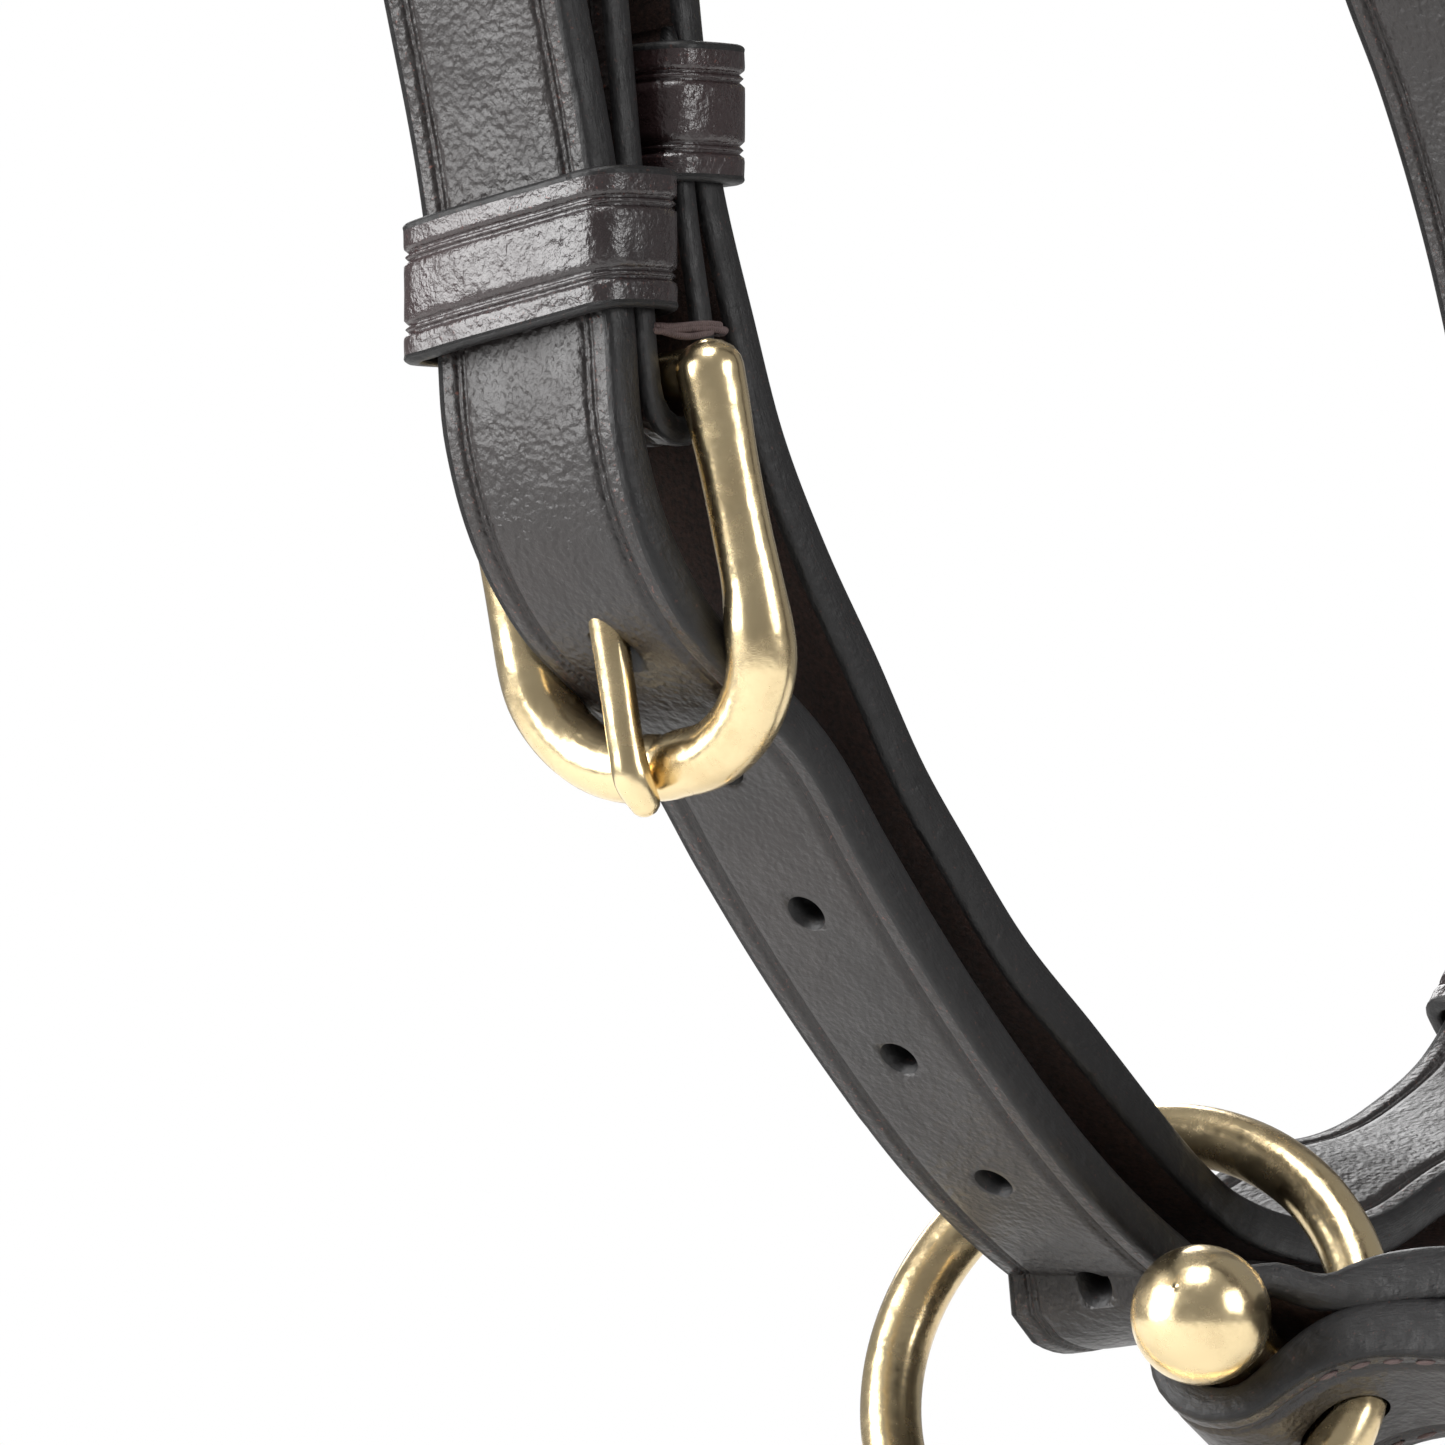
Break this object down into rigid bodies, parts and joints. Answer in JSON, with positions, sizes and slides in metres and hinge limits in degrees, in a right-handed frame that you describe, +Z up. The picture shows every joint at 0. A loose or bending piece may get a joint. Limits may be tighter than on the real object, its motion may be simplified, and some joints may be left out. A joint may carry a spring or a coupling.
{
  "type": "leather headcollar",
  "caption": "Adjustable leather stable headcollar with brass squares, buckles, lead ring with stop, backstay and snap-hook throatlash.",
  "frame": {"origin": "the poll: middle of the headpiece, on the face that lies on the neck", "axes": "+Z up, -Y to the front (nose), +X to the near (left) side of the horse"},
  "size_m": [0.2066, 0.2619, 0.5332],
  "materials": {
    "havana_leather": "dark havana bridle leather, waxed grain, dyed edges",
    "keeper_leather": "dark havana keeper leather, glossier than the straps",
    "lining_leather": "dark havana lining leather, smooth",
    "brass": "cast brass, polished with a soft worn satin"
  },
  "bodies": {
    "leatherwork": {"backstay": "havana_leather", "chin_back_keeper": "keeper_leather", "chin_buckle": "brass", "chin_front_keeper": "keeper_leather", "chin_off_keeper": "keeper_leather", "chin_strap": "havana_leather", "headpiece": "havana_leather", "near_cheek_piece": "havana_leather", "near_crown_buckle": "brass", "near_fixed_keeper": "keeper_leather", "near_ring_tab": "havana_leather", "near_square": "brass", "noseband": "havana_leather", "noseband_lining": "lining_leather", "off_cheek_piece": "havana_leather", "off_crown_buckle": "brass", "off_fixed_keeper": "keeper_leather", "off_ring_tab": "havana_leather", "off_square": "brass", "snap_eye": "brass", "throatlash": "havana_leather"},
    "lead_ring": {"lead_ring": "brass"},
    "lead_stop": {"lead_ring_stop": "brass"},
    "chin_tongue": {"chin_buckle_tongue": "brass"},
    "near_tongue": {"near_crown_buckle_tongue": "brass"},
    "off_tongue": {"off_crown_buckle_tongue": "brass"},
    "near_runner": {"near_runner_keeper": "keeper_leather"},
    "off_runner": {"off_runner_keeper": "keeper_leather"},
    "near_ring": {"near_cheek_ring": "brass"},
    "off_ring": {"off_cheek_ring": "brass"},
    "snap_hook": {"snap_hook": "brass", "snap_gate_pin": "brass"},
    "snap_gate": {"snap_gate": "brass"}
  },
  "joints": [
    {"name": "lead_ring_spin", "type": "hinge", "parent": "leatherwork", "child": "lead_ring", "pos_m": [0.012, 0.031, -0.4996], "axis": [0.883, 0.188, 0.43], "continuous": true},
    {"name": "lead_stop_roll", "type": "hinge", "parent": "leatherwork", "child": "lead_stop", "pos_m": [0.00883, 0.04838, -0.5007], "axis": [0.883, 0.188, 0.43], "continuous": true},
    {"name": "chin_tongue_lift", "type": "hinge", "parent": "leatherwork", "child": "chin_tongue", "pos_m": [0.086, 0.01287, -0.39089], "axis": [0, -0.9919, -0.1271], "range_deg": [0, 5]},
    {"name": "near_crown_tongue_lift", "type": "hinge", "parent": "leatherwork", "child": "near_tongue", "pos_m": [0.0837, 0, -0.15], "axis": [0, 1, 0], "range_deg": [0, 5]},
    {"name": "off_crown_tongue_lift", "type": "hinge", "parent": "leatherwork", "child": "off_tongue", "pos_m": [-0.0837, 0, -0.15], "axis": [0, -1, 0], "range_deg": [0, 5]},
    {"name": "near_runner_slide", "type": "slide", "parent": "leatherwork", "child": "near_runner", "axis": [0, 0, 1], "range_m": [-0.045, 0.0045]},
    {"name": "off_runner_slide", "type": "slide", "parent": "leatherwork", "child": "off_runner", "axis": [0, 0, 1], "range_m": [-0.045, 0.0045]},
    {"name": "near_cheek_ring_spin", "type": "hinge", "parent": "leatherwork", "child": "near_ring", "pos_m": [0.0837, 0.033, -0.196], "axis": [1, 0, 0], "continuous": true},
    {"name": "off_cheek_ring_spin", "type": "hinge", "parent": "leatherwork", "child": "off_ring", "pos_m": [-0.0837, 0.033, -0.196], "axis": [1, 0, 0], "continuous": true},
    {"name": "snap_swivel", "type": "hinge", "parent": "leatherwork", "child": "snap_hook", "pos_m": [0.0837, 0.05882, -0.26801], "axis": [0, -0.3375, 0.9413], "range_deg": [-20, 20]},
    {"name": "snap_gate_open", "type": "hinge", "parent": "snap_hook", "child": "snap_gate", "pos_m": [0.0752, 0.04532, -0.23036], "axis": [0, 0.9413, 0.3375], "range_deg": [0, 24], "stiffness_Nm_per_rad": 0.02, "springref_deg": -11.46}
  ]
}
